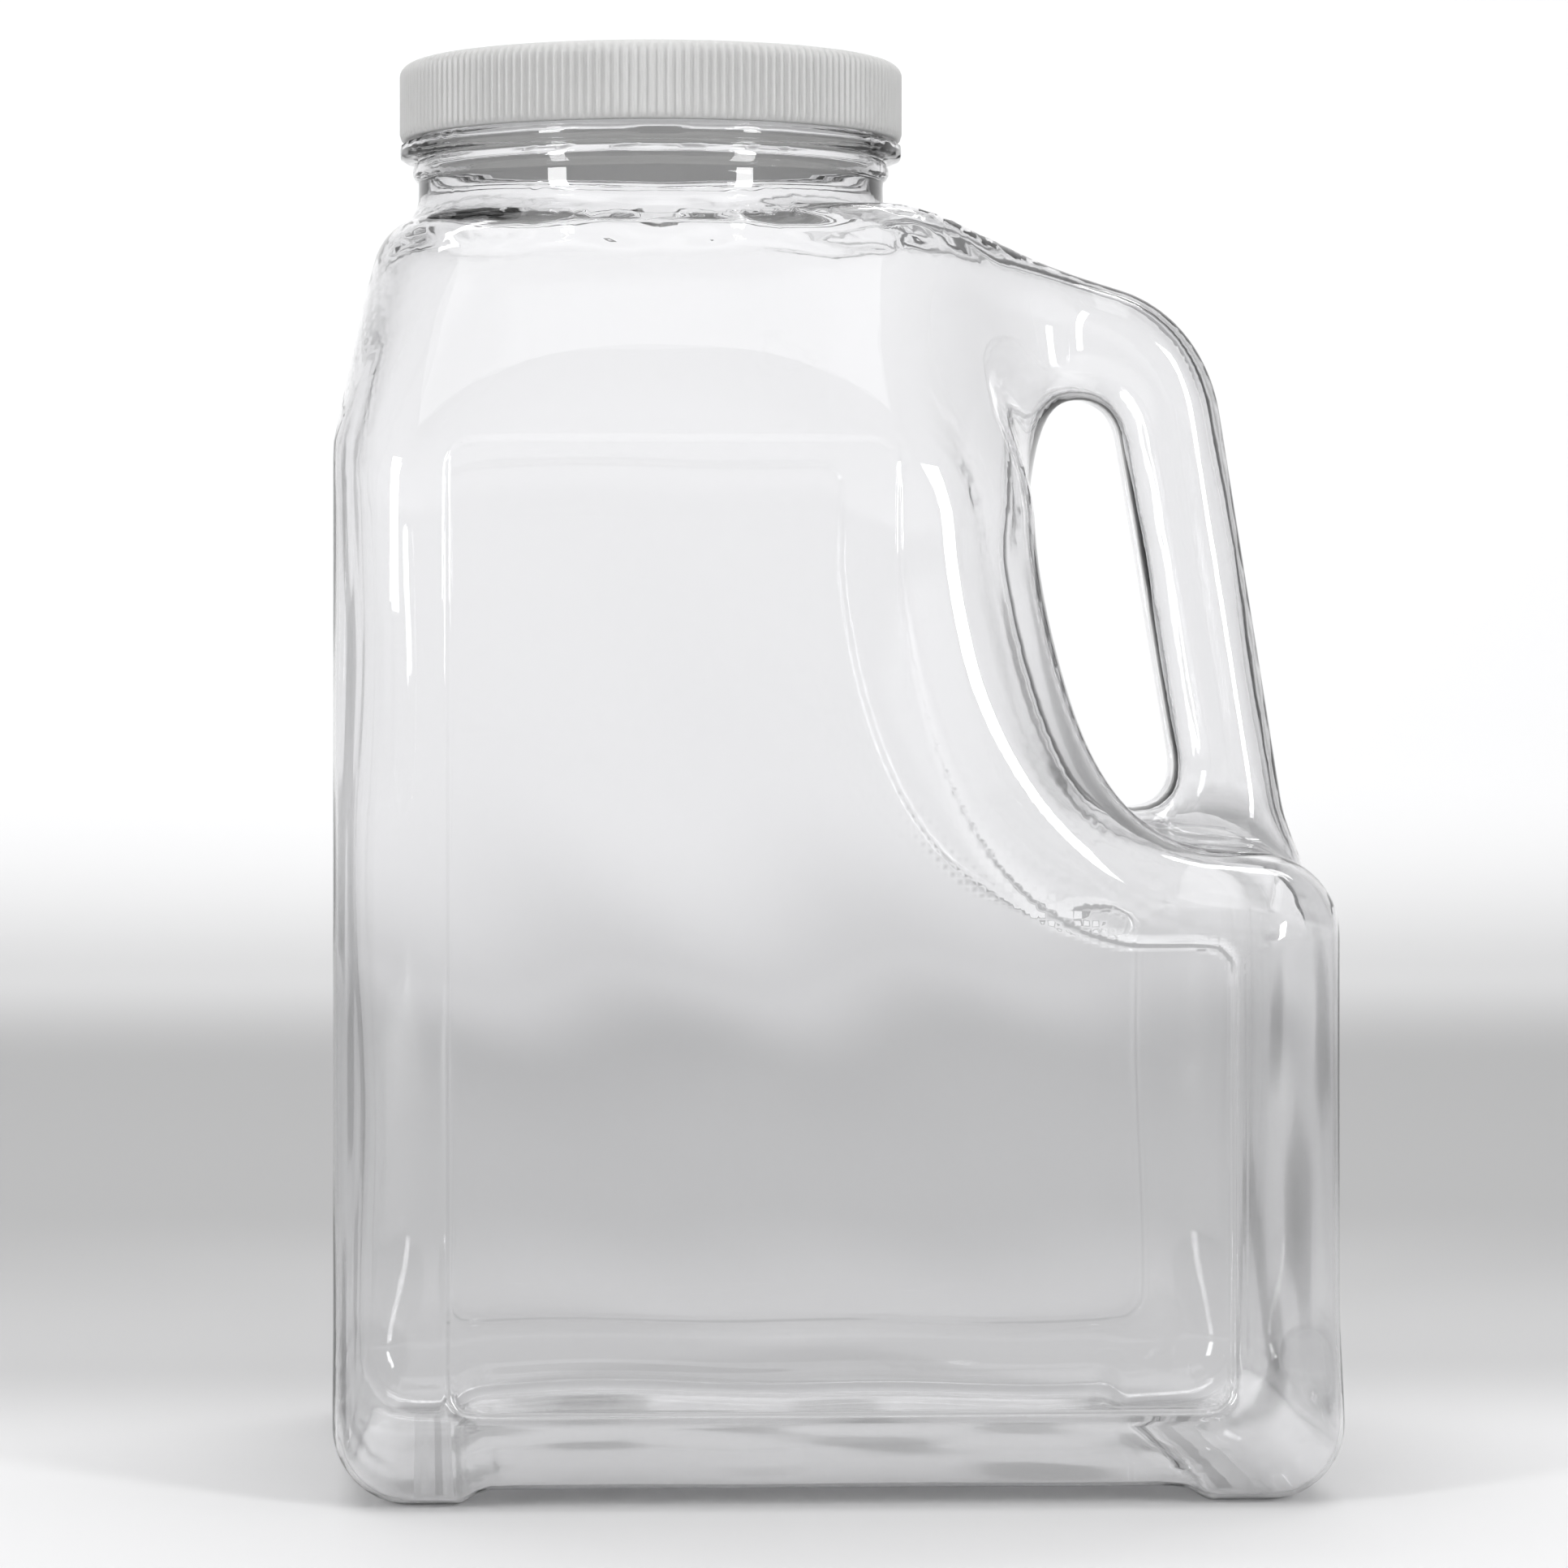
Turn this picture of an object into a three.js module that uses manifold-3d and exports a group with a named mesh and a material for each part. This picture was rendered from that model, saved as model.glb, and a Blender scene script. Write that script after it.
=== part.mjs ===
// A clear blow-moulded gallon jug with a hollow side handle and a ribbed screw cap.
// Millimetres, +Z up, the label panel faces -Y and the handle is on +X.
// The origin is at the bottom centre of the jug's box.

import * as THREE from 'three';
import { mergeVertices } from 'three/addons/utils/BufferGeometryUtils.js';
import Module from 'manifold-3d';

const wasm = await Module();
wasm.setup();

// Driving dimensions of the jug
const WIDTH = 174;
const DEPTH = 132;
const WALL = 0.9;
const EDGE_RADIUS = 14;
const BASE_CORNER = 14.5;
const BLOCK_CORNER = 15;
const BLOCK_SIDE_TOP = 97;
const DECK_TOP = BLOCK_SIDE_TOP + BLOCK_CORNER;

// Shoulder, above the straight walls
const SIDE_SLOPE_START = 182;
const FACE_SLOPE_START = 186;
const SHOULDER_TOP = 224;
const SHOULDER_LEFT = -79.2;
const SHOULDER_RIGHT = 18.2;
const SHOULDER_HALF_DEPTH = 50;
const SHOULDER_EDGE = 217;
const DOME_EDGE_RADIUS = 54;
const DOME_TOP_RADIUS = 45;
const DOME_SPREAD = 0.72;

// Neck and its rings
const NECK_X = -30.35;
const NECK_RADIUS = 42.1;
const NECK_WALL = 1.6;
const NECK_FLARE = 4;
const NECK_SIDES = 64;
const RIM_TOP = 249.6;
const STEP_RADIUS = 43.1;
const STEP_BOTTOM = 231.2;
const STEP_TOP = 233.8;
const BEAD_RADIUS = 45.6;
const BEAD_BOTTOM = 234.6;
const BEAD_TOP = 237.6;

// Finger gap between jug and handle: points [x, z] on its edge, from the jug's side clockwise
const GAP_SIDE_LOW = [41, 137.5];
const GAP_SIDE = [35, 168];
const GAP_SIDE_TOP = [31, 177];
const GAP_TOP = [45.9, 191.6];
const GAP_GRIP_TOP = [54.7, 184.6];
const GAP_GRIP_LOW = [64.2, 128];
const GAP_BOTTOM = [54, 114];

// Handle: its section, its outer edge as points [x, z], and the heights where it ends in the jug
const GRIP_DEPTH = 26;
const GRIP_RADIUS = 8;
const GRIP_BEND_TOP = [55.5, 211];
const GRIP_BEND_LOW = [72.6, 189];
const GRIP_HEEL = [84.1, 117];
const HANDLE_RIGHT = 86.4;
const HANDLE_HEEL_LOW = 100;
const HANDLE_ROOT = 84;

// Label panels, one on each broad face
const PANEL_RECESS = 1.1;
const PANEL_CUTTER = 10;
const PANEL_LEFT = -67.6;
const PANEL_RIGHT = 66.6;
const PANEL_TOP = 182.2;
const PANEL_BOTTOM = 16.1;
const PANEL_NARROW_RIGHT = 9.4;
const PANEL_STEP_TOP = 96.2;
const PANEL_CORNER = 5;

// Arch under the base, running from front to back between two feet
const ARCH_LEFT = -66;
const ARCH_RIGHT = 64;
const ARCH_RISE = 3;
const ARCH_RUN = 9;

// Screw cap
const CAP_RADIUS = 45.5;
const CAP_BOTTOM = 238;
const CAP_TOP = 252;
const CAP_EDGE = 1.6;
const CAP_BORE_RADIUS = 43.9;
const CAP_BORE_TOP = 250;
const RIB_COUNT = 180;
const RIB_RELIEF = 0.35;

// Facets
const ARC_STEPS = 6;
const EDGE_STEPS = 4;
const DOME_STEPS = 3;
const BEYOND = 30;

function solidOf(geometry) {
  geometry.deleteAttribute('normal');
  geometry.deleteAttribute('uv');
  const merged = mergeVertices(geometry, 1e-4);
  return new wasm.Manifold(new wasm.Mesh({
    numProp: 3,
    vertProperties: new Float32Array(merged.attributes.position.array),
    triVerts: new Uint32Array(merged.index.array),
  }));
}

function meshOf(name, solid, material) {
  const { vertProperties, triVerts } = solid.getMesh();
  const geometry = new THREE.BufferGeometry();
  geometry.setAttribute('position', new THREE.BufferAttribute(vertProperties, 3));
  geometry.setIndex(new THREE.BufferAttribute(triVerts, 1));
  geometry.computeVertexNormals();
  const mesh = new THREE.Mesh(geometry, material);
  mesh.name = name;
  return mesh;
}

// A slab with the outline in X and Z, centred on Y, with its edges rounded by radius.
// A positive inset moves every face inwards, and a negative one outwards.
function slab(outline, depth, radius, inset, steps = EDGE_STEPS) {
  const geometry = new THREE.ExtrudeGeometry(outline, {
    depth: depth - 2 * radius,
    bevelSize: radius - inset,
    bevelThickness: radius - inset,
    bevelOffset: -radius,
    bevelSegments: steps,
    curveSegments: ARC_STEPS,
    steps: 1,
  });
  geometry.translate(0, 0, radius - depth / 2);
  geometry.rotateX(Math.PI / 2);
  return geometry;
}

// Front outline of the jug without its handle. The right side follows the edge of the
// finger gap, and the top runs on past the shoulder, which is cut afterwards.
function bodyOutline() {
  const half = WIDTH / 2;
  const slopePerRise = (SHOULDER_LEFT + half) / (SHOULDER_TOP - SIDE_SLOPE_START);
  const top = SHOULDER_TOP + BEYOND;
  const outline = new THREE.Shape();
  outline.moveTo(BASE_CORNER - half, 0);
  outline.lineTo(half - BASE_CORNER, 0);
  outline.absarc(half - BASE_CORNER, BASE_CORNER, BASE_CORNER, -Math.PI / 2, 0);
  outline.lineTo(half, BLOCK_SIDE_TOP);
  outline.absarc(half - BLOCK_CORNER, BLOCK_SIDE_TOP, BLOCK_CORNER, 0, Math.PI / 2);
  outline.lineTo(64, DECK_TOP + 0.8);
  outline.bezierCurveTo(50, DECK_TOP + 3, 44.5, 126, ...GAP_SIDE_LOW);
  outline.bezierCurveTo(38.2, 147, 35.5, 158, ...GAP_SIDE);
  outline.lineTo(SHOULDER_RIGHT, SHOULDER_TOP);
  outline.lineTo(SHOULDER_RIGHT, top);
  outline.lineTo(SHOULDER_LEFT + slopePerRise * BEYOND, top);
  outline.lineTo(-half, SIDE_SLOPE_START);
  outline.lineTo(-half, BASE_CORNER);
  outline.absarc(BASE_CORNER - half, BASE_CORNER, BASE_CORNER, Math.PI, 1.5 * Math.PI);
  return outline;
}

// Side outline that slopes the two broad faces in to the neck.
function shoulderOutline() {
  const half = DEPTH / 2;
  const outPerDrop = (half - SHOULDER_HALF_DEPTH) / (SHOULDER_EDGE - FACE_SLOPE_START);
  const drop = 10;
  const outline = new THREE.Shape();
  outline.moveTo(-half - outPerDrop * drop, -BEYOND);
  outline.lineTo(half + outPerDrop * drop, -BEYOND);
  outline.lineTo(half + outPerDrop * drop, FACE_SLOPE_START - drop);
  outline.lineTo(SHOULDER_HALF_DEPTH - outPerDrop * drop, SHOULDER_EDGE + drop);
  outline.lineTo(outPerDrop * drop - SHOULDER_HALF_DEPTH, SHOULDER_EDGE + drop);
  outline.lineTo(-half - outPerDrop * drop, FACE_SLOPE_START - drop);
  return outline;
}

// The handle's band: from inside the shoulder, out over the finger gap and down into the block.
function handleOutline() {
  const [bottomX] = GAP_BOTTOM;
  const outline = new THREE.Shape();
  outline.moveTo(4, 200);
  outline.lineTo(20, 171);
  outline.lineTo(...GAP_SIDE_TOP);
  outline.bezierCurveTo(37, 187, 40.5, 191.6, ...GAP_TOP);
  outline.bezierCurveTo(50.5, 191.6, 53.6, 190, ...GAP_GRIP_TOP);
  outline.lineTo(...GAP_GRIP_LOW);
  outline.bezierCurveTo(65.4, 121, 62, 116, ...GAP_BOTTOM);
  outline.lineTo(bottomX, HANDLE_ROOT);
  outline.lineTo(HANDLE_RIGHT, HANDLE_ROOT);
  outline.lineTo(HANDLE_RIGHT, HANDLE_HEEL_LOW);
  outline.bezierCurveTo(HANDLE_RIGHT, 105, 85.4, 110, ...GRIP_HEEL);
  outline.lineTo(...GRIP_BEND_LOW);
  outline.bezierCurveTo(71, 199, 65, 207.6, ...GRIP_BEND_TOP);
  outline.lineTo(SHOULDER_RIGHT, SHOULDER_TOP - 1.4);
  outline.lineTo(6, SHOULDER_TOP - 4);
  return outline;
}

// Label panel: broad below, with a sweeping right edge that narrows it beside the handle.
function panelOutline() {
  const c = PANEL_CORNER;
  const outline = new THREE.Shape();
  outline.moveTo(PANEL_LEFT + c, PANEL_BOTTOM);
  outline.lineTo(PANEL_RIGHT - c, PANEL_BOTTOM);
  outline.absarc(PANEL_RIGHT - c, PANEL_BOTTOM + c, c, -Math.PI / 2, 0);
  outline.lineTo(PANEL_RIGHT, PANEL_STEP_TOP - c);
  outline.absarc(PANEL_RIGHT - c, PANEL_STEP_TOP - c, c, 0, Math.PI / 2);
  outline.lineTo(49, PANEL_STEP_TOP);
  outline.bezierCurveTo(30, PANEL_STEP_TOP + 3, 14, 116, PANEL_NARROW_RIGHT, 162);
  outline.lineTo(PANEL_NARROW_RIGHT, PANEL_TOP - c);
  outline.absarc(PANEL_NARROW_RIGHT - c, PANEL_TOP - c, c, 0, Math.PI / 2);
  outline.lineTo(PANEL_LEFT + c, PANEL_TOP);
  outline.absarc(PANEL_LEFT + c, PANEL_TOP - c, c, Math.PI / 2, Math.PI);
  outline.lineTo(PANEL_LEFT, PANEL_BOTTOM + c);
  outline.absarc(PANEL_LEFT + c, PANEL_BOTTOM + c, c, Math.PI, 1.5 * Math.PI);
  return outline;
}

function archOutline() {
  const outline = new THREE.Shape();
  outline.moveTo(ARCH_LEFT, -BEYOND);
  outline.lineTo(ARCH_RIGHT, -BEYOND);
  outline.lineTo(ARCH_RIGHT, 0);
  outline.lineTo(ARCH_RIGHT - ARCH_RUN, ARCH_RISE);
  outline.lineTo(ARCH_LEFT + ARCH_RUN, ARCH_RISE);
  outline.lineTo(ARCH_LEFT, 0);
  return outline;
}

function turned(profile) {
  const points = profile.map(([radius, height]) => new THREE.Vector2(radius, height));
  const geometry = new THREE.LatheGeometry(points, NECK_SIDES);
  geometry.rotateX(Math.PI / 2);
  geometry.translate(NECK_X, 0, 0);
  return solidOf(geometry);
}

// A cone about the neck that takes off the shoulder's corners and rounds its top.
function dome(inset) {
  const fall = SHOULDER_EDGE + BEYOND;
  const rise = SHOULDER_TOP - SHOULDER_EDGE;
  const overhang = DOME_EDGE_RADIUS - DOME_TOP_RADIUS;
  const profile = [
    [0, -BEYOND],
    [DOME_EDGE_RADIUS + DOME_SPREAD * fall - inset, -BEYOND],
    [DOME_EDGE_RADIUS - inset, SHOULDER_EDGE],
  ];
  for (let i = 1; i <= DOME_STEPS; i += 1) {
    const angle = Math.PI / 2 * i / DOME_STEPS;
    const radius = DOME_TOP_RADIUS + overhang * Math.cos(angle) - inset;
    profile.push([radius, SHOULDER_EDGE + (rise - inset) * Math.sin(angle)]);
  }
  profile.push([0, SHOULDER_TOP - inset]);
  return turned(profile);
}

function neck() {
  const root = SHOULDER_TOP - 1.5;
  return turned([
    [0, root - NECK_FLARE],
    [NECK_RADIUS + NECK_FLARE, root - NECK_FLARE],
    [NECK_RADIUS + NECK_FLARE, root],
    [NECK_RADIUS + NECK_FLARE * 0.3, root + NECK_FLARE * 0.7],
    [NECK_RADIUS, root + NECK_FLARE * 1.7],
    [NECK_RADIUS, STEP_BOTTOM],
    [STEP_RADIUS, STEP_BOTTOM + 0.6],
    [STEP_RADIUS, STEP_TOP],
    [NECK_RADIUS + 0.4, BEAD_BOTTOM - 0.4],
    [BEAD_RADIUS, BEAD_BOTTOM + 0.8],
    [BEAD_RADIUS, BEAD_TOP - 0.6],
    [BEAD_RADIUS - 0.6, BEAD_TOP],
    [NECK_RADIUS, BEAD_TOP],
    [NECK_RADIUS, RIM_TOP],
    [0, RIM_TOP],
  ]);
}

function bore() {
  const radius = NECK_RADIUS - NECK_WALL;
  return turned([
    [0, SHOULDER_EDGE - BEYOND / 2],
    [radius, SHOULDER_EDGE - BEYOND / 2],
    [radius, RIM_TOP + BEYOND],
    [0, RIM_TOP + BEYOND],
  ]);
}

// Body, handle, panels and base arch, with every face moved in by inset.
function form(inset) {
  const body = solidOf(slab(bodyOutline(), DEPTH, EDGE_RADIUS, inset));
  const across = slab(shoulderOutline(), WIDTH + BEYOND, 2, inset, 1);
  const shoulders = solidOf(across.rotateZ(Math.PI / 2));
  const handle = solidOf(slab(handleOutline(), GRIP_DEPTH, GRIP_RADIUS, inset));
  const arch = solidOf(slab(archOutline(), DEPTH + BEYOND, 1, -inset, 1));
  let result = body.intersect(shoulders).intersect(dome(inset)).add(handle).subtract(arch);
  for (const face of [-1, 1]) {
    const panel = slab(panelOutline(), PANEL_CUTTER, PANEL_RECESS, -inset, 1);
    panel.translate(0, face * (DEPTH / 2 - PANEL_RECESS + PANEL_CUTTER / 2), 0);
    result = result.subtract(solidOf(panel));
  }
  return result;
}

function bottle() {
  const outside = form(0).add(neck());
  const inside = form(WALL).add(bore());
  return outside.subtract(inside);
}

function ribbedOutline() {
  const outline = new THREE.Shape();
  const points = [];
  for (let i = 0; i < 2 * RIB_COUNT; i += 1) {
    const angle = Math.PI * i / RIB_COUNT;
    const radius = CAP_RADIUS - (i % 2) * RIB_RELIEF;
    points.push(new THREE.Vector2(radius * Math.cos(angle), radius * Math.sin(angle)));
  }
  outline.setFromPoints(points);
  return outline;
}

function cap() {
  const geometry = slab(ribbedOutline(), CAP_TOP - CAP_BOTTOM, CAP_EDGE, 0, 1);
  geometry.rotateX(-Math.PI / 2);
  geometry.translate(NECK_X, 0, (CAP_TOP + CAP_BOTTOM) / 2);
  const hollow = turned([
    [0, CAP_BOTTOM - 1],
    [CAP_BORE_RADIUS, CAP_BOTTOM - 1],
    [CAP_BORE_RADIUS, CAP_BORE_TOP],
    [0, CAP_BORE_TOP],
  ]);
  return solidOf(geometry).subtract(hollow);
}

const clearPlastic = new THREE.MeshStandardMaterial({
  color: 0xe6e8ea, roughness: 0.05, metalness: 0, transparent: true, opacity: 0.3,
});
const capPlastic = new THREE.MeshStandardMaterial({
  color: 0xc4c4c3, roughness: 0.4, metalness: 0,
});

const jug = new THREE.Group();
jug.add(meshOf('bottle', bottle(), clearPlastic));
jug.add(meshOf('cap', cap(), capPlastic));

export default jug;
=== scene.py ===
import math

import bmesh
import bpy
import numpy as np
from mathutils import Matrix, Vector


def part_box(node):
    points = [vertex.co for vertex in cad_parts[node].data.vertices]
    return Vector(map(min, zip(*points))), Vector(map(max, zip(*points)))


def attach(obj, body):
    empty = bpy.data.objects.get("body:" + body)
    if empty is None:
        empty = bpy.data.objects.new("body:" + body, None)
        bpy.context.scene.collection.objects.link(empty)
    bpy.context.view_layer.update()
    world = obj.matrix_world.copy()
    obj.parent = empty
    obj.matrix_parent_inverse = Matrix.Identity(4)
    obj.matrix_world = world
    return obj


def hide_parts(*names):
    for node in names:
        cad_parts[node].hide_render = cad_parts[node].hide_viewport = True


# The looks of a clear blow-moulded gallon jug with a hollow side handle and a ribbed screw cap.
# The jug's outer and inner faces are smooth level surfaces of one form.
# Shapes are worked out in millimetres and meshed in metres.

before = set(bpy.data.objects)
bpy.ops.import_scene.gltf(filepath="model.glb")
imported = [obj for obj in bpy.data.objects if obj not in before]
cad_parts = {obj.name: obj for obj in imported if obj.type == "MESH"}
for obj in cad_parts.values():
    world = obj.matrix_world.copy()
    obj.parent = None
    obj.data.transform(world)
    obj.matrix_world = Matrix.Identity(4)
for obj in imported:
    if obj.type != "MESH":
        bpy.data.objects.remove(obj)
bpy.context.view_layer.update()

MM = 0.001

# Sizes that come from the frame, in millimetres
_, bottle_high = [np.array(corner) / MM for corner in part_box("bottle")]
cap_low, cap_high = [np.array(corner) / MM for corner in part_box("cap")]
HALF_WIDTH = bottle_high[0]
HALF_DEPTH = bottle_high[1]
RIM_TOP = bottle_high[2]
NECK_X = (cap_low[0] + cap_high[0]) / 2
CAP_RADIUS = (cap_high[0] - cap_low[0]) / 2
CAP_BOTTOM = cap_low[2]
CAP_TOP = cap_high[2]

# Body, with edges that grow rounder beside the finger gap and tighter round the base
EDGE_RADIUS = 18
SWEEP_EDGE_RADIUS = 26
SWEEP_EDGE_LOW = 105
SWEEP_EDGE_RISE = 40
SWEEP_EDGE_LEFT = -10
SWEEP_EDGE_RUN = 25
BASE_EDGE_RADIUS = 12
BASE_EDGE_TOP = 35
BASE_EDGE_RISE = 25
BASE_CORNER = 13.5
BLOCK_CORNER = 14
BLOCK_SIDE_TOP = 97
DECK_TOP = BLOCK_SIDE_TOP + BLOCK_CORNER
DECK_END = (64, DECK_TOP + 0.8)

# Wall, with the seam weld in the handle and the heavier neck
WALL = 0.85
WALL_DRIFT = 0.16
WELD = 0.8
WELD_HALF = 3
WELD_LEFT = 20
WELD_RUN = 10
WELD_LOW = 105
WELD_RISE = 15
NECK_RIPPLE = 0.11
NECK_EXTRA = 0.7
NECK_EXTRA_RISE = 8

# Shoulder
SIDE_SLOPE_START = 182
SHOULDER_LEFT = -79.2
SHOULDER_RIGHT = 18.2
SHOULDER_TOP = 224
SHOULDER_EDGE = 217
SHOULDER_HALF_DEPTH = 50
FACE_SLOPE_START = 186
CONE_EDGE_RADIUS = 56
CONE_SPREAD = 0.72
SLOPE_BLEND = 8
CONE_BLEND = 8
TOP_BLEND = 8

# Neck and its rings: radius, middle height and half height of each
NECK_RADIUS = 42.1
NECK_FOOT = SHOULDER_EDGE - 20
NECK_BLEND = 4
STEP_RING = (43.1, 232.5, 1.3)
BEAD_RING = (45.4, 236.1, 1.4)
RING_BLEND = 0.8
RING_EDGE = 0.6

# Handle and finger gap, as points [x, z] on their edges
GRIP_DEPTH = 26
GRIP_RADIUS = 8.5
HANDLE_BLEND_TOP = 20
HANDLE_BLEND_LOW = 11
HANDLE_FLARE = 30
HANDLE_FLARE_START = 50
HANDLE_FLARE_RUN = 46
GAP_SIDE_LOW = (41, 137.5)
GAP_SIDE = (35, 168)
GAP_SIDE_TOP = (31, 177)
GAP_TOP = (45.9, 191.6)
GAP_GRIP_TOP = (54.7, 184.6)
GAP_GRIP_LOW = (64.2, 128)
GAP_BOTTOM = (54, 114)
GRIP_BEND_TOP = (55.5, 211)
GRIP_BEND_LOW = (72.6, 189)
GRIP_HEEL = (84.1, 117)
HANDLE_RIGHT = 86.4
HANDLE_HEEL_LOW = 100
HANDLE_ROOT = 84
ROOF_DROP = 1.4

# Label panels
PANEL_RECESS = 1.1
PANEL_STEP = 1.7
PANEL_LEFT = -67.6
PANEL_RIGHT = 66.6
PANEL_TOP = 182.2
PANEL_BOTTOM = 16.1
PANEL_NARROW_RIGHT = 9.4
PANEL_STEP_TOP = 96.2
PANEL_SWEEP_RIGHT = 49
PANEL_SWEEP_TOP = 162
PANEL_CORNER = 5

# Arch under the base
ARCH_LEFT = -66
ARCH_RIGHT = 64
ARCH_RISE = 3
ARCH_RUN = 6
ARCH_FADE = 30
ARCH_MOST = 1.2

# Cap
RIB_COUNT = 180
RIB_STEPS = 6
RIB_RELIEF = 0.4
RIB_START = 0.25
RIB_FADE = 1.0
CAP_EDGE = 2.2
CAP_WALL = 1.5
CAP_FOOT_STEP = 0.4
CAP_TOP_STEP = 1.2
CAP_CEILING = RIM_TOP + 0.4
CAP_FLAT_RADII = (30, 15, 4)
CAP_SIDE_RINGS = 12
CAP_EDGE_ANGLES = (12, 90)
CAP_EDGE_RINGS = 8

# Studio, in metres, with the backdrop's painted shade: its greys along its run from the jug to the wall
STAGE_REACH = 12.0
SWEEP_START = 1.4
SWEEP_RADIUS = 0.8
SWEEP_STEPS = 24
# Painted shade: a grey band painted on the paper behind the jug, paler under it and white up the wall
SWEEP_PAINTED_SHADE = [
    (0, 0.86), (0.06, 0.6), (0.2, 0.43), (0.42, 0.41), (0.66, 0.62), (0.8, 0.86), (1, 0.92),
]
PAPER_BLUE = 1.006
SURROUNDINGS = 0.5
CLEAR_BOUNCES = 10

# Camera, in metres, millimetres of lens and degrees of turn
CAMERA_PLACE = (-0.069, -0.969, 0.1457)
CAMERA_TURN = -2.2
CAMERA_SENSOR = 36
CAMERA_LENS = 122.7
CAMERA_SHIFT = (0.09, -0.084)

# Fineness of the outline maps
MAP_STEP = 0.5
MAP_MARGIN = 40
MAP_LAST_CELL = 1.001
TINY = 1e-9

# Fineness of the jug's mesh, and how far its close grid lines reach
COARSE = 3
MIDDLE = 1.5
FINE = 0.6
GRID_EDGE = 3
STEP_OUT = 2
STEP_IN = 3
GRIP_ZONE = 6
GAP_MIDDLE = 50
RIM_ZONE = 12
NUDGE = 0.05
LEAST_SLOPE = 0.05
MOST_SHIFT = 1.5
SETTLE_ROUNDS = 3
RELAX_ROUNDS = 2
RELAX_SHARE = 0.4


def line(*points):
    """Straight stretches, as the corner points alone."""
    return np.array(points, float)


def arc(x, z, radius, first, last, steps=14):
    """A round stretch about (x, z), from angle first to last in degrees."""
    angle = np.radians(np.linspace(first, last, steps + 1))
    return np.stack([x + radius * np.cos(angle), z + radius * np.sin(angle)], axis=1)


def bezier(a, b, c, d, steps=28):
    """A curved stretch from a to d that is drawn towards b and c."""
    t = np.linspace(0, 1, steps + 1)[:, None]
    a, b, c, d = (np.array(p, float) for p in (a, b, c, d))
    return (1 - t) ** 3 * a + 3 * (1 - t) ** 2 * t * b + 3 * (1 - t) * t**2 * c + t**3 * d


def body_outline():
    """Front outline of the jug without its handle, running on past the shoulder."""
    slope = (SHOULDER_LEFT + HALF_WIDTH) / (SHOULDER_TOP - SIDE_SLOPE_START)
    top = SHOULDER_TOP + MAP_MARGIN
    return np.vstack([
        arc(HALF_WIDTH - BASE_CORNER, BASE_CORNER, BASE_CORNER, -90, 0),
        arc(HALF_WIDTH - BLOCK_CORNER, BLOCK_SIDE_TOP, BLOCK_CORNER, 0, 90),
        bezier(DECK_END, (50, DECK_TOP + 3), (44.5, 126), GAP_SIDE_LOW),
        bezier(GAP_SIDE_LOW, (38.2, 147), (35.5, 158), GAP_SIDE),
        bezier(GAP_SIDE, (34, 186), (22, 205), (SHOULDER_RIGHT, SHOULDER_TOP)),
        line((SHOULDER_RIGHT, top)),
        line((SHOULDER_LEFT + slope * MAP_MARGIN, top), (-HALF_WIDTH, SIDE_SLOPE_START)),
        arc(BASE_CORNER - HALF_WIDTH, BASE_CORNER, BASE_CORNER, 180, 270),
    ])


def handle_outline():
    """The handle's band, from inside the shoulder over the finger gap and down into the block."""
    return np.vstack([
        line((4, 200), (20, 171)),
        bezier(GAP_SIDE_TOP, (37, 187), (40.5, GAP_TOP[1]), GAP_TOP),
        bezier(GAP_TOP, (50.5, GAP_TOP[1]), (53.6, 190), GAP_GRIP_TOP),
        bezier(GAP_GRIP_LOW, (65.4, 121), (62, 116), GAP_BOTTOM),
        line((GAP_BOTTOM[0], HANDLE_ROOT), (HANDLE_RIGHT, HANDLE_ROOT)),
        bezier((HANDLE_RIGHT, HANDLE_HEEL_LOW), (HANDLE_RIGHT, 105), (85.4, 110), GRIP_HEEL),
        bezier(GRIP_BEND_LOW, (71, 199), (65, 207.6), GRIP_BEND_TOP),
        line((SHOULDER_RIGHT, SHOULDER_TOP - ROOF_DROP), (6, SHOULDER_TOP - 4)),
    ])


def panel_outline():
    """Label panel: broad below, with a sweeping right edge that narrows it beside the handle."""
    c = PANEL_CORNER
    sweep_low = (PANEL_SWEEP_RIGHT, PANEL_STEP_TOP)
    sweep_high = (PANEL_NARROW_RIGHT, PANEL_SWEEP_TOP)
    return np.vstack([
        arc(PANEL_RIGHT - c, PANEL_BOTTOM + c, c, -90, 0),
        arc(PANEL_RIGHT - c, PANEL_STEP_TOP - c, c, 0, 90),
        bezier(sweep_low, (30, PANEL_STEP_TOP + 3), (14, 116), sweep_high),
        arc(PANEL_NARROW_RIGHT - c, PANEL_TOP - c, c, 0, 90),
        arc(PANEL_LEFT + c, PANEL_TOP - c, c, 90, 180),
        arc(PANEL_LEFT + c, PANEL_BOTTOM + c, c, 180, 270),
    ])


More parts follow.
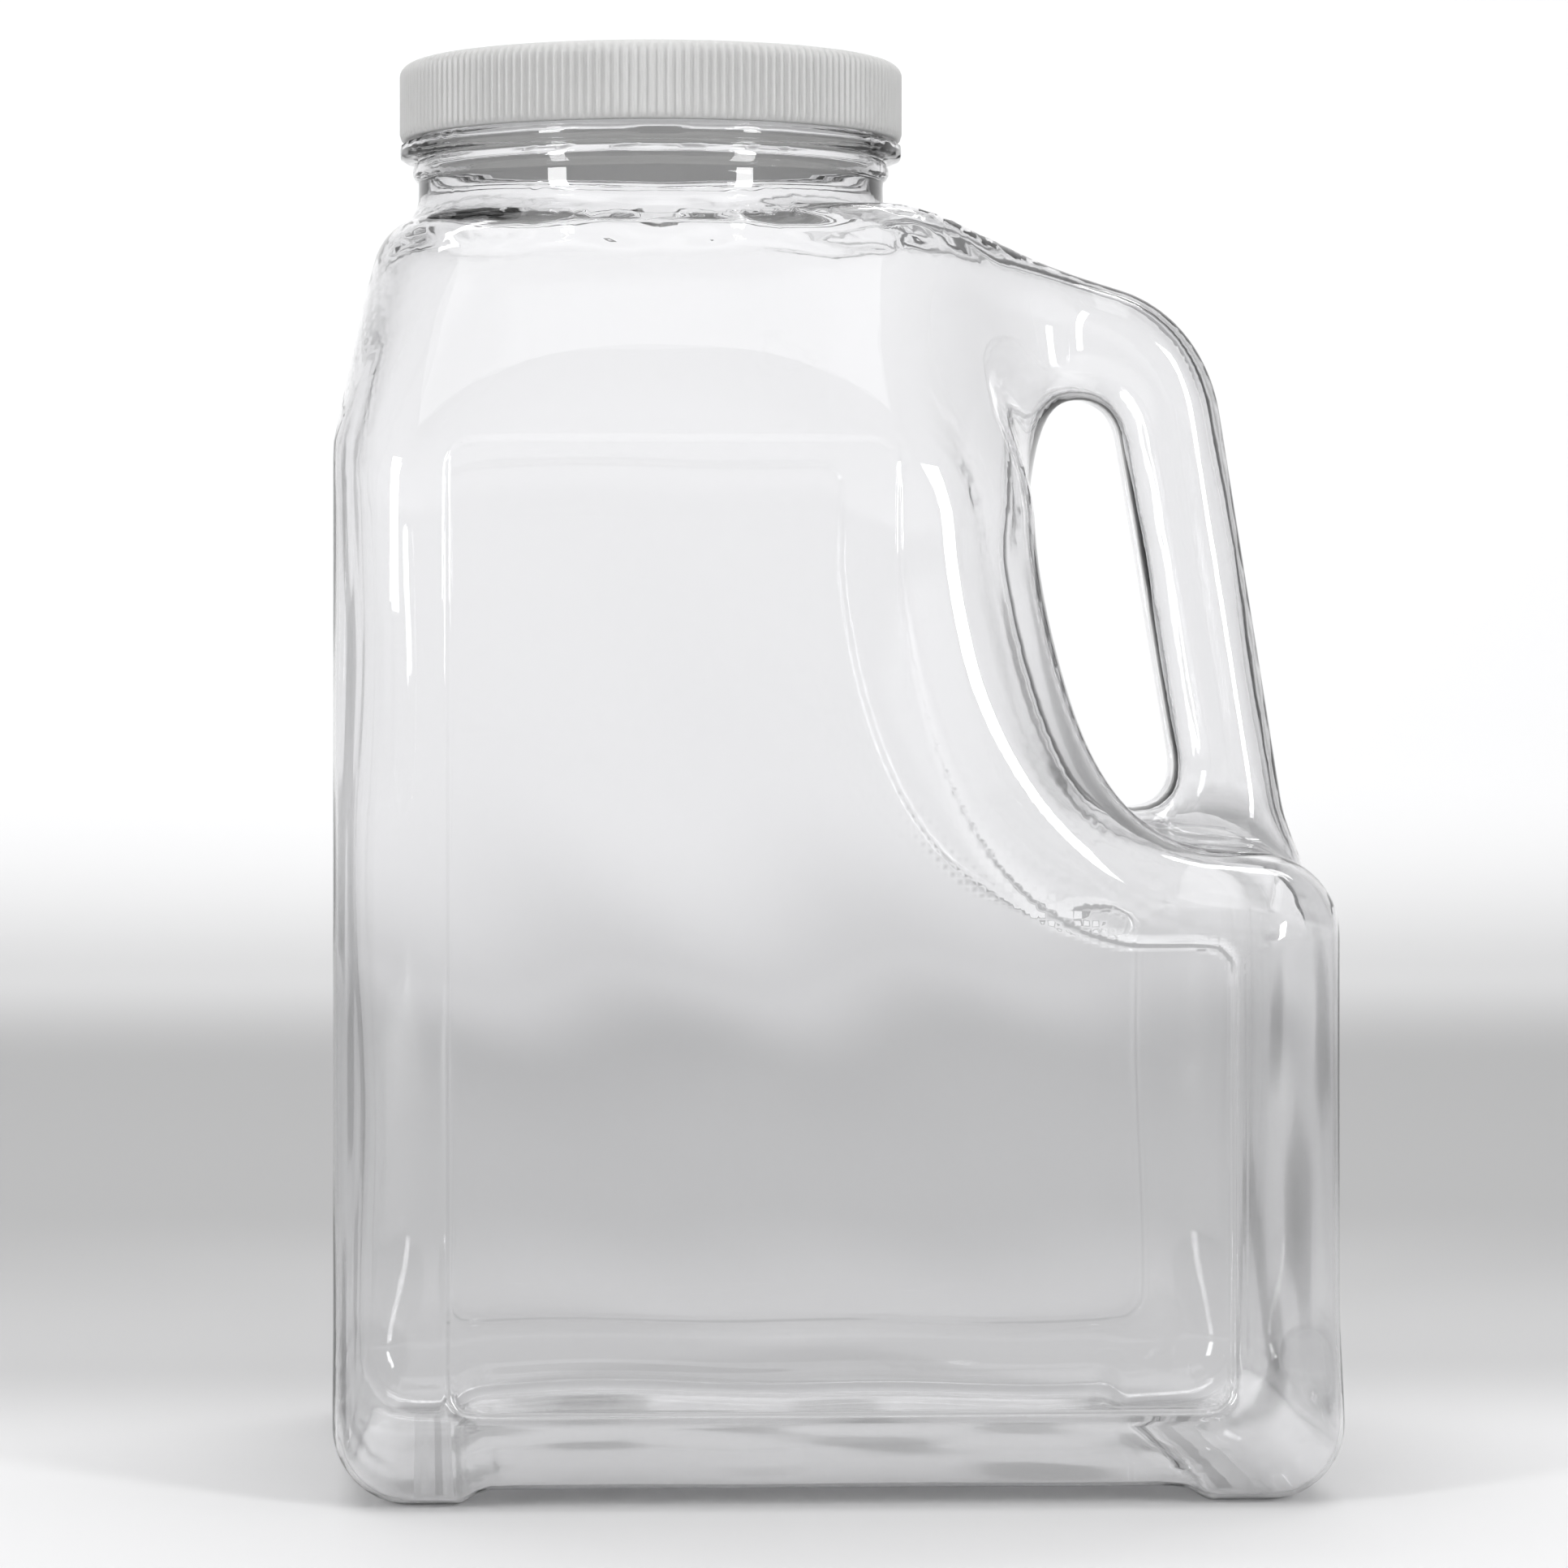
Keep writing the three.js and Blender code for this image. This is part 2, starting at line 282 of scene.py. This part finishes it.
def distance_map(outline):
    """Signed distance to a closed outline, below zero inside, read from a fine map in X and Z."""
    low = np.array([-HALF_WIDTH - MAP_MARGIN, -MAP_MARGIN])
    high = np.array([HALF_WIDTH + MAP_MARGIN, RIM_TOP + MAP_MARGIN])
    count = np.ceil((high - low) / MAP_STEP).astype(int) + 1
    x = (low[0] + MAP_STEP * np.arange(count[0]))[:, None]
    z = (low[1] + MAP_STEP * np.arange(count[1]))[None, :]
    nearest = np.full(count, np.inf)
    inside = np.zeros(count, bool)
    for (ax, az), (bx, bz) in zip(outline, np.roll(outline, -1, axis=0)):
        dx = bx - ax
        dz = bz - az
        square = dx * dx + dz * dz
        if square < TINY:
            continue
        along = np.clip(((x - ax) * dx + (z - az) * dz) / square, 0, 1)
        nearest = np.minimum(nearest, np.hypot(x - ax - along * dx, z - az - along * dz))
        if az != bz:
            inside ^= ((az > z) != (bz > z)) & (x < ax + (z - az) * dx / dz)
    signed = np.where(inside, -nearest, nearest)

    def read(px, pz):
        """The map's value at any place, blended from the four map points round it."""
        column = np.clip((px - low[0]) / MAP_STEP, 0, count[0] - MAP_LAST_CELL)
        row = np.clip((pz - low[1]) / MAP_STEP, 0, count[1] - MAP_LAST_CELL)
        i, j = column.astype(int), row.astype(int)
        u, v = column - i, row - j
        below = signed[i, j] * (1 - u) + signed[i + 1, j] * u
        above = signed[i, j + 1] * (1 - u) + signed[i + 1, j + 1] * u
        return below * (1 - v) + above * v

    return read


def smooth_max(a, b, blend):
    """The larger of two fields, rounded where they meet."""
    near = np.maximum(blend - np.abs(a - b), 0) / blend
    return np.maximum(a, b) + near * near * blend / 4


def smooth_min(a, b, blend):
    """The smaller of two fields, with a fillet where they meet."""
    return -smooth_max(-a, -b, blend)


def smooth_step(value):
    """0 below zero, 1 above one, and a smooth ramp between."""
    t = np.clip(value, 0, 1)
    return t * t * (3 - 2 * t)


def rounded(side, face, radius):
    """A slab from its outline's distance and its face's distance, with round edges."""
    a, b = side + radius, face + radius
    outside = np.hypot(np.maximum(a, 0), np.maximum(b, 0))
    return outside + np.minimum(np.maximum(a, b), 0) - radius


body_distance = distance_map(body_outline())
handle_distance = distance_map(handle_outline())
panel_distance = distance_map(panel_outline())


def arch(x):
    """How far the base is raised between its two feet."""
    left = smooth_step((x - ARCH_LEFT) / ARCH_RUN)
    right = smooth_step((ARCH_RIGHT - x) / ARCH_RUN)
    return ARCH_RISE * left * right


def edge_radius(x, z):
    """Radius of the body's edges, smaller round the base and larger beside the finger gap."""
    low = smooth_step((BASE_EDGE_TOP - z) / BASE_EDGE_RISE)
    high = smooth_step((z - SWEEP_EDGE_LOW) / SWEEP_EDGE_RISE)
    right = smooth_step((x - SWEEP_EDGE_LEFT) / SWEEP_EDGE_RUN)
    base = (BASE_EDGE_RADIUS - EDGE_RADIUS) * low
    sweep = (SWEEP_EDGE_RADIUS - EDGE_RADIUS) * high * right
    return EDGE_RADIUS + base + sweep


def body_form(x, y, z):
    """The body with its label panels, base arch and sloped shoulder, below zero inside."""
    depth = np.abs(y)
    lift = arch(x) * np.clip(1 - z / ARCH_FADE, 0, ARCH_MOST) ** 2
    panel = smooth_step(0.5 - panel_distance(x, z) / PANEL_STEP)
    face = depth + PANEL_RECESS * panel - HALF_DEPTH
    body = rounded(body_distance(x, z - lift), face, edge_radius(x, z))
    run = HALF_DEPTH - SHOULDER_HALF_DEPTH
    rise = SHOULDER_EDGE - FACE_SLOPE_START
    slope = ((depth - HALF_DEPTH) * rise + (z - FACE_SLOPE_START) * run) / math.hypot(run, rise)
    radius = np.hypot(x - NECK_X, y)
    cone = (radius - CONE_EDGE_RADIUS - CONE_SPREAD * (SHOULDER_EDGE - z)) / math.hypot(1, CONE_SPREAD)
    body = smooth_max(body, slope, SLOPE_BLEND)
    body = smooth_max(body, cone, CONE_BLEND)
    return smooth_max(body, z - SHOULDER_TOP, TOP_BLEND)


def handle_form(x, y, z):
    """The handle's rounded band, which spreads in depth towards the shoulder."""
    flare = HANDLE_FLARE * smooth_step((HANDLE_FLARE_START - x) / HANDLE_FLARE_RUN)
    return rounded(handle_distance(x, z), np.abs(y) - GRIP_DEPTH / 2 - flare, GRIP_RADIUS)


def handle_blend(z):
    """How broadly the handle runs into the body, more so towards the shoulder."""
    upward = smooth_step((z - GAP_BOTTOM[1]) / (GAP_TOP[1] - GAP_BOTTOM[1]))
    return HANDLE_BLEND_LOW + (HANDLE_BLEND_TOP - HANDLE_BLEND_LOW) * upward


def handle_roof(x, z):
    """Height over the straight line from the shoulder's end to the handle's upper bend."""
    fall = SHOULDER_TOP - ROOF_DROP - GRIP_BEND_TOP[1]
    reach = GRIP_BEND_TOP[0] - SHOULDER_RIGHT
    above = (x - SHOULDER_RIGHT) * fall + (z - SHOULDER_TOP + ROOF_DROP) * reach
    return above / math.hypot(fall, reach)


def jug_form(x, y, z):
    """The jug's outer form without the rings on its neck, below zero inside."""
    jug = smooth_min(body_form(x, y, z), handle_form(x, y, z), handle_blend(z))
    for limit in (x - HALF_WIDTH, z - SHOULDER_TOP, handle_roof(x, z)):
        jug = np.maximum(jug, limit)
    radius = np.hypot(x - NECK_X, y)
    neck = np.maximum(radius - NECK_RADIUS, NECK_FOOT - z)
    return smooth_min(jug, neck, NECK_BLEND)


def ring_form(x, y, z, ring):
    """A rounded ring about the neck."""
    outer, middle, half = ring
    across = np.hypot(x - NECK_X, y) - outer
    return rounded(across, np.abs(z - middle) - half, RING_EDGE)


def outer_form(x, y, z):
    """The jug's outside, with the rings under the cap."""
    jug = jug_form(x, y, z)
    for ring in (STEP_RING, BEAD_RING):
        jug = smooth_min(jug, ring_form(x, y, z, ring), RING_BLEND)
    return jug


def slow_drift(x, y, z):
    """Long, crossing waves in the wall's thickness."""
    drift = np.sin(x / 19 + 0.4 * np.sin(z / 31)) * np.cos(z / 23 + y / 29)
    return drift + 0.6 * np.sin(x / 8.3 + z / 11.7) * np.cos(y / 9.1)


def seam_weld(x, y, z):
    """A wavering ridge along the handle's seam, fading out below it and towards the body."""
    seam = np.exp(-(((y - 1.2 * np.sin(z / 7)) / WELD_HALF) ** 2))
    return seam * smooth_step((x - WELD_LEFT) / WELD_RUN) * smooth_step((z - WELD_LOW) / WELD_RISE)


def neck_ripple(x, y, z):
    """Two uneven rings of ripples, one where the neck begins and one at the shoulder's edge."""
    turn = np.arctan2(y, x - NECK_X)
    upper = np.exp(-(((z - SHOULDER_TOP + 2 - np.sin(7 * turn)) / 1.6) ** 2))
    lower = np.exp(-(((z - SHOULDER_EDGE + np.sin(11 * turn)) / 1.4) ** 2))
    waves = 1 + np.sin(13 * turn + 2.5 * np.sin(4 * turn)) + 0.6 * np.sin(37 * turn + z)
    return (upper + lower) * waves


def inner_form(x, y, z):
    """The jug's inside, under an uneven wall that is heavier at the neck."""
    heavy = smooth_step((z - SHOULDER_TOP) / NECK_EXTRA_RISE) * NECK_EXTRA
    waves = WALL_DRIFT * slow_drift(x, y, z)
    uneven = waves + WELD * seam_weld(x, y, z) + NECK_RIPPLE * neck_ripple(x, y, z)
    return jug_form(x, y, z) + WALL + heavy + uneven


def steps_between(stops):
    """Grid lines from a list of (place, spacing up to the next place)."""
    lines = []
    for (start, spacing), (end, _) in zip(stops, stops[1:]):
        lines.append(np.linspace(start, end, max(1, round((end - start) / spacing)), endpoint=False))
    return np.concatenate(lines + [[stops[-1][0]]])


def grid_lines():
    """Grid lines along X, Y and Z, close together where the form has small steps."""
    x = steps_between([
        (-HALF_WIDTH - GRID_EDGE, MIDDLE),
        (PANEL_LEFT - STEP_OUT, FINE), (PANEL_LEFT + STEP_IN, COARSE),
        (PANEL_NARROW_RIGHT - STEP_IN, FINE), (PANEL_NARROW_RIGHT + STEP_OUT, MIDDLE),
        (GAP_MIDDLE, COARSE),
        (PANEL_RIGHT - STEP_IN, FINE), (PANEL_RIGHT + STEP_OUT, MIDDLE),
        (HALF_WIDTH + GRID_EDGE, 0),
    ])
    y = steps_between([
        (-HALF_DEPTH - STEP_OUT, FINE), (STEP_IN - HALF_DEPTH, MIDDLE),
        (EDGE_RADIUS - HALF_DEPTH, COARSE),
        (-GRIP_DEPTH / 2 - GRIP_ZONE, MIDDLE), (GRIP_DEPTH / 2 + GRIP_ZONE, COARSE),
        (HALF_DEPTH - EDGE_RADIUS, MIDDLE),
        (HALF_DEPTH - STEP_IN, FINE), (HALF_DEPTH + STEP_OUT, 0),
    ])
    z = steps_between([
        (-GRID_EDGE, MIDDLE),
        (PANEL_BOTTOM - STEP_OUT, FINE), (PANEL_BOTTOM + STEP_IN, COARSE),
        (PANEL_STEP_TOP - STEP_IN, FINE), (PANEL_STEP_TOP + STEP_OUT, MIDDLE),
        (PANEL_SWEEP_TOP + STEP_IN, COARSE),
        (PANEL_TOP - PANEL_CORNER, FINE), (PANEL_TOP + STEP_OUT, MIDDLE),
        (SHOULDER_TOP + NECK_BLEND, FINE), (RIM_TOP - RIM_ZONE, MIDDLE),
        (RIM_TOP + GRID_EDGE, 0),
    ])
    return x, y, z


def crossed_edges(value, lines, axis):
    """Grid edges along one axis that the zero level crosses, the crossing points, and which start inside."""
    inside = value < 0
    count = value.shape[axis] - 1
    first = np.take(inside, range(count), axis)
    second = np.take(inside, range(1, count + 1), axis)
    edge = np.argwhere(first != second)
    step = np.eye(3, dtype=int)[axis]
    a = value[tuple(edge.T)]
    b = value[tuple((edge + step).T)]
    share = a / (a - b)
    points = np.stack([lines[k][edge[:, k]] for k in range(3)], axis=1)
    ahead = lines[axis][edge[:, axis] + 1] - lines[axis][edge[:, axis]]
    points[:, axis] += share * ahead
    return edge, points, a < 0


def cells_round(edge, axis, cells):
    """The four grid cells round each edge, in turn, each with whether it lies in the grid."""
    across = [k for k in range(3) if k != axis]
    corners = []
    for back in ((0, 0), (1, 0), (1, 1), (0, 1)):
        cell = edge.copy()
        cell[:, across] -= back
        kept = np.all((cell >= 0) & (cell < cells), axis=1)
        corners.append((cell, kept))
    return corners


def surface_net(form, lines):
    """Points near the form's zero level, one in each grid cell that it crosses, and four-sided faces."""
    value = form(*np.meshgrid(*lines, indexing="ij", sparse=True))
    cells = tuple(n - 1 for n in value.shape)
    total = np.zeros(cells + (3,))
    hits = np.zeros(cells, int)
    crossings = []
    for axis in range(3):
        edge, points, leaves = crossed_edges(value, lines, axis)
        corners = cells_round(edge, axis, cells)
        for cell, kept in corners:
            np.add.at(total, tuple(cell[kept].T), points[kept])
            np.add.at(hits, tuple(cell[kept].T), 1)
        crossings.append((axis, leaves, corners))
    used = hits > 0
    number = np.full(cells, -1)
    number[used] = np.arange(used.sum())
    faces = []
    for axis, leaves, corners in crossings:
        whole = np.all([kept for _, kept in corners], axis=0)
        quad = np.stack([number[tuple(cell[whole].T)] for cell, _ in corners], axis=1)
        turned = leaves[whole] == (axis == 1)
        quad[turned] = quad[turned][:, ::-1]
        faces.append(quad)
    return total[used] / hits[used][:, None], np.concatenate(faces)


def settle(form, vertices):
    """Moves points along the form's slope until they lie on its zero level."""
    for _ in range(SETTLE_ROUNDS):
        value = form(*vertices.T)
        slope = np.empty_like(vertices)
        for axis in range(3):
            nudge = np.zeros(3)
            nudge[axis] = NUDGE
            ahead = form(*(vertices + nudge).T)
            behind = form(*(vertices - nudge).T)
            slope[:, axis] = (ahead - behind) / (2 * NUDGE)
        steepness = np.maximum((slope**2).sum(axis=1), LEAST_SLOPE)
        shift = np.clip(value / steepness, -MOST_SHIFT, MOST_SHIFT)
        vertices = vertices - slope * shift[:, None]
    return vertices


def relax(vertices, faces):
    """Draws each point towards the middle of its neighbours."""
    edges = np.concatenate([faces[:, [k, (k + 1) % 4]] for k in range(4)])
    edges = np.concatenate([edges, edges[:, ::-1]])
    start, end = edges.T
    size = len(vertices)
    count = np.maximum(np.bincount(start, minlength=size), 1)
    total = [np.bincount(start, weights=vertices[end, k], minlength=size) for k in range(3)]
    middle = np.stack(total, axis=1) / count[:, None]
    return vertices + RELAX_SHARE * (middle - vertices)


def level_surface(form):
    """A smooth four-sided mesh of the form's zero level."""
    vertices, faces = surface_net(form, grid_lines())
    for _ in range(RELAX_ROUNDS):
        vertices = settle(form, relax(vertices, faces))
    return vertices, faces


def new_mesh(name, vertices, faces):
    """A linked, smooth-shaded object from points in millimetres."""
    mesh = bpy.data.meshes.new(name)
    mesh.from_pydata((np.asarray(vertices) * MM).tolist(), [], [list(map(int, f)) for f in faces])
    mesh.validate()
    mesh.shade_smooth()
    piece = bpy.data.objects.new(name, mesh)
    bpy.context.scene.collection.objects.link(piece)
    return piece


def make_bottle():
    """The jug's outer and inner faces, cut off at the rim and joined there."""
    outer, outer_faces = level_surface(outer_form)
    inner, inner_faces = level_surface(inner_form)
    piece = new_mesh(
        "bottle_shell",
        np.concatenate([outer, inner]),
        np.concatenate([outer_faces, inner_faces[:, ::-1] + len(outer)]),
    )
    bm = bmesh.new()
    bm.from_mesh(piece.data)
    whole = bm.verts[:] + bm.edges[:] + bm.faces[:]
    rim = Vector((0, 0, RIM_TOP * MM))
    bmesh.ops.bisect_plane(bm, geom=whole, plane_co=rim, plane_no=(0, 0, 1), clear_outer=True)
    bmesh.ops.bridge_loops(bm, edges=[e for e in bm.edges if e.is_boundary])
    bm.to_mesh(piece.data)
    bm.free()
    piece.data.shade_smooth()
    return piece


def ring_of(radius, height, count):
    """A ring of points about the neck."""
    angle = 2 * np.pi * np.arange(count) / count
    return np.stack([
        NECK_X + radius * np.cos(angle), radius * np.sin(angle), np.full(count, height),
    ], axis=1)


def cap_outside():
    """Rings of the cap's ribbed outside, from its lower edge to where its top is flat."""
    count = RIB_COUNT * RIB_STEPS
    wave = 0.5 + 0.5 * np.cos(2 * np.pi * np.arange(count) / RIB_STEPS)
    side_top = CAP_TOP - CAP_EDGE
    rings = []
    for height in np.linspace(RIB_START, side_top - CAP_BOTTOM, CAP_SIDE_RINGS):
        foot = smooth_step(height / RIB_FADE)
        rings.append(ring_of(CAP_RADIUS - RIB_RELIEF * (1 - wave * foot), CAP_BOTTOM + height, count))
    for angle in np.radians(np.linspace(*CAP_EDGE_ANGLES, CAP_EDGE_RINGS)):
        radius = CAP_RADIUS - CAP_EDGE * (1 - math.cos(angle))
        relief = RIB_RELIEF * (1 - wave * math.cos(angle) ** 2)
        rings.append(ring_of(radius - relief, side_top + CAP_EDGE * math.sin(angle), count))
    return rings


def stitch(low, low_count, high, high_count):
    """Faces between two rings, the finer of which may have several points for each of the other's."""
    faces = []
    count = max(low_count, high_count)
    for i in range(count):
        j = (i + 1) % count
        a, b = low + i * low_count // count, low + j * low_count // count
        d, c = high + i * high_count // count, high + j * high_count // count
        faces.append([a] + ([b] if b != a else []) + ([c] if c != d else []) + [d])
    return faces


def make_cap():
    """The screw cap: a ribbed skirt with a round upper edge, a flat top and a plain hollow below."""
    bore = CAP_RADIUS - CAP_WALL
    hollow = [ring_of(radius, CAP_CEILING, RIB_COUNT) for radius in reversed(CAP_FLAT_RADII)]
    hollow += [ring_of(bore, height, RIB_COUNT) for height in (CAP_CEILING, CAP_BOTTOM)]
    foot = [ring_of(CAP_RADIUS - RIB_RELIEF - CAP_FOOT_STEP, CAP_BOTTOM, RIB_COUNT)]
    top_radii = (CAP_RADIUS - CAP_EDGE - CAP_TOP_STEP,) + CAP_FLAT_RADII
    top = [ring_of(radius, CAP_TOP, RIB_COUNT) for radius in top_radii]
    rings = hollow + foot + cap_outside() + top
    starts = np.cumsum([0] + [len(ring) for ring in rings])
    faces = []
    for k, (lower, upper) in enumerate(zip(rings, rings[1:])):
        faces += stitch(starts[k], len(lower), starts[k + 1], len(upper))
    faces.append(list(range(RIB_COUNT))[::-1])
    faces.append([starts[-2] + i for i in range(RIB_COUNT)])
    return new_mesh("cap_ribbed", np.concatenate(rings), faces)


def node_material(name):
    """A new material with its nodes, links and Principled shader."""
    material = bpy.data.materials.new(name)
    material.use_nodes = True
    nodes, links = material.node_tree.nodes, material.node_tree.links
    return material, nodes, links, nodes["Principled BSDF"]


def clear_plastic():
    """Clear blown plastic: glass-like, with a slow ripple in its faces."""
    material, nodes, links, shader = node_material("clear_plastic")
    shader.inputs["Base Color"].default_value = (0.93, 0.93, 0.935, 1)
    shader.inputs["Roughness"].default_value = 0.015
    shader.inputs["IOR"].default_value = 1.5
    shader.inputs["Transmission Weight"].default_value = 1
    place = nodes.new("ShaderNodeTexCoord")
    ripple = nodes.new("ShaderNodeTexNoise")
    ripple.inputs["Scale"].default_value = 45
    ripple.inputs["Detail"].default_value = 0
    bump = nodes.new("ShaderNodeBump")
    bump.inputs["Strength"].default_value = 0.09
    bump.inputs["Distance"].default_value = 0.001
    links.new(place.outputs["Object"], ripple.inputs["Vector"])
    links.new(ripple.outputs["Fac"], bump.inputs["Height"])
    links.new(bump.outputs["Normal"], shader.inputs["Normal"])
    return material


def cap_plastic():
    """Light grey moulded plastic with a fine satin grain."""
    material, nodes, links, shader = node_material("cap_plastic")
    place = nodes.new("ShaderNodeTexCoord")
    cloud = nodes.new("ShaderNodeTexNoise")
    cloud.inputs["Scale"].default_value = 60
    cloud.inputs["Detail"].default_value = 4
    tint = nodes.new("ShaderNodeValToRGB")
    tint.color_ramp.elements[0].color = (0.48, 0.48, 0.474, 1)
    tint.color_ramp.elements[1].color = (0.55, 0.55, 0.543, 1)
    grain = nodes.new("ShaderNodeTexNoise")
    grain.inputs["Scale"].default_value = 2600
    bump = nodes.new("ShaderNodeBump")
    bump.inputs["Strength"].default_value = 0.15
    bump.inputs["Distance"].default_value = 0.0001
    links.new(place.outputs["Object"], cloud.inputs["Vector"])
    links.new(place.outputs["Object"], grain.inputs["Vector"])
    links.new(cloud.outputs["Fac"], tint.inputs["Fac"])
    links.new(tint.outputs["Color"], shader.inputs["Base Color"])
    links.new(grain.outputs["Fac"], bump.inputs["Height"])
    links.new(bump.outputs["Normal"], shader.inputs["Normal"])
    shader.inputs["Roughness"].default_value = 0.38
    shader.inputs["Subsurface Weight"].default_value = 1
    shader.inputs["Subsurface Radius"].default_value = (1, 1, 1)
    shader.inputs["Subsurface Scale"].default_value = 0.008
    return material


def dress(piece, node, material):
    """Gives a piece its finish and puts it in its node's place."""
    piece.data.materials.append(material)
    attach(piece, "root")
    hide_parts(node)


def sweep_paper_painted_shade():
    """Matt backdrop paper with painted shade: pale under the jug, a painted grey shade further back and
    white up the wall.
    """
    material, nodes, links, shader = node_material("sweep_paper_painted_shade")
    shader.inputs["Roughness"].default_value = 0.85
    shader.inputs["Specular IOR Level"].default_value = 0.1
    place = nodes.new("ShaderNodeTexCoord")
    parts = nodes.new("ShaderNodeSeparateXYZ")
    run = nodes.new("ShaderNodeMapRange")
    run.inputs["From Max"].default_value = SWEEP_START + SWEEP_RADIUS
    # Painted shade: a ramp of greys along the paper's run, darkest behind the jug
    shade = nodes.new("ShaderNodeValToRGB")
    shade.color_ramp.interpolation = "EASE"
    stops = shade.color_ramp.elements
    for where, _ in SWEEP_PAINTED_SHADE[1:-1]:
        stops.new(where)
    for stop, (where, grey) in zip(stops, SWEEP_PAINTED_SHADE):
        stop.position = where
        stop.color = (grey, grey, grey * PAPER_BLUE, 1)
    links.new(place.outputs["Object"], parts.inputs["Vector"])
    links.new(parts.outputs["Y"], run.inputs["Value"])
    links.new(run.outputs["Result"], shade.inputs["Fac"])
    links.new(shade.outputs["Color"], shader.inputs["Base Color"])
    return material


def make_sweep():
    """A pale floor that curves up into a wall behind, with shade painted on it by its paper."""
    curve = np.radians(np.linspace(0, 90, SWEEP_STEPS + 1))
    bend = [(SWEEP_START + SWEEP_RADIUS * math.sin(t), SWEEP_RADIUS * (1 - math.cos(t))) for t in curve]
    profile = [(-STAGE_REACH, 0)] + bend + [(SWEEP_START + SWEEP_RADIUS, STAGE_REACH)]
    points = [(x, y, z) for y, z in profile for x in (-STAGE_REACH, STAGE_REACH)]
    faces = [(2 * i, 2 * i + 1, 2 * i + 3, 2 * i + 2) for i in range(len(profile) - 1)]
    mesh = bpy.data.meshes.new("sweep")
    mesh.from_pydata(points, [], faces)
    mesh.shade_smooth()
    mesh.materials.append(sweep_paper_painted_shade())
    sweep = bpy.data.objects.new("sweep", mesh)
    bpy.context.scene.collection.objects.link(sweep)


def soft_light(name, place, target, size, power):
    """A rectangular soft light that faces a target."""
    data = bpy.data.lights.new(name, "AREA")
    data.shape = "RECTANGLE"
    data.size, data.size_y = size
    data.energy = power
    light = bpy.data.objects.new(name, data)
    light.location = place
    light.rotation_euler = (Vector(target) - Vector(place)).to_track_quat("-Z", "Y").to_euler()
    bpy.context.scene.collection.objects.link(light)


def make_lights():
    """Even pale surroundings, a light on the wall behind, one overhead and two tall soft side panels."""
    world = bpy.data.worlds.new("studio")
    world.use_nodes = True
    background = world.node_tree.nodes["Background"]
    background.inputs["Color"].default_value = (1, 1, 1, 1)
    background.inputs["Strength"].default_value = SURROUNDINGS
    bpy.context.scene.world = world
    soft_light("wall_light", (0, 0.9, 1.9), (0, 2.2, 0.3), (2.4, 0.5), 24)
    soft_light("overhead_light", (-0.05, -0.15, 1.3), (-0.05, 0, 0), (1.4, 1.4), 5)
    soft_light("left_panel", (-0.95, -0.82, 0.46), (0, 0, 0.2), (0.2, 0.6), 6)
    soft_light("right_panel", (0.8, -0.86, 0.46), (0, 0, 0.2), (0.2, 0.6), 6)


def set_light_paths():
    """Plain colours, and enough bounces for light to pass through the walls of the jug and its handle."""
    scene = bpy.context.scene
    scene.view_settings.view_transform = "Standard"
    scene.cycles.max_bounces = CLEAR_BOUNCES
    scene.cycles.transmission_bounces = CLEAR_BOUNCES
    scene.cycles.caustics_reflective = False
    scene.cycles.diffuse_bounces = 2
    scene.cycles.glossy_bounces = 3


def make_camera():
    """The photograph's view: level, from left of the jug's middle and turned a little to the right."""
    data = bpy.data.cameras.new("camera")
    data.sensor_width = CAMERA_SENSOR
    data.lens = CAMERA_LENS
    data.shift_x, data.shift_y = CAMERA_SHIFT
    data.clip_start = 0.05
    camera = bpy.data.objects.new("camera", data)
    camera.location = CAMERA_PLACE
    camera.rotation_euler = (math.radians(90), 0, math.radians(CAMERA_TURN))
    bpy.context.scene.collection.objects.link(camera)
    bpy.context.scene.camera = camera


make_sweep()
make_lights()
set_light_paths()
make_camera()
dress(make_bottle(), "bottle", clear_plastic())
dress(make_cap(), "cap", cap_plastic())
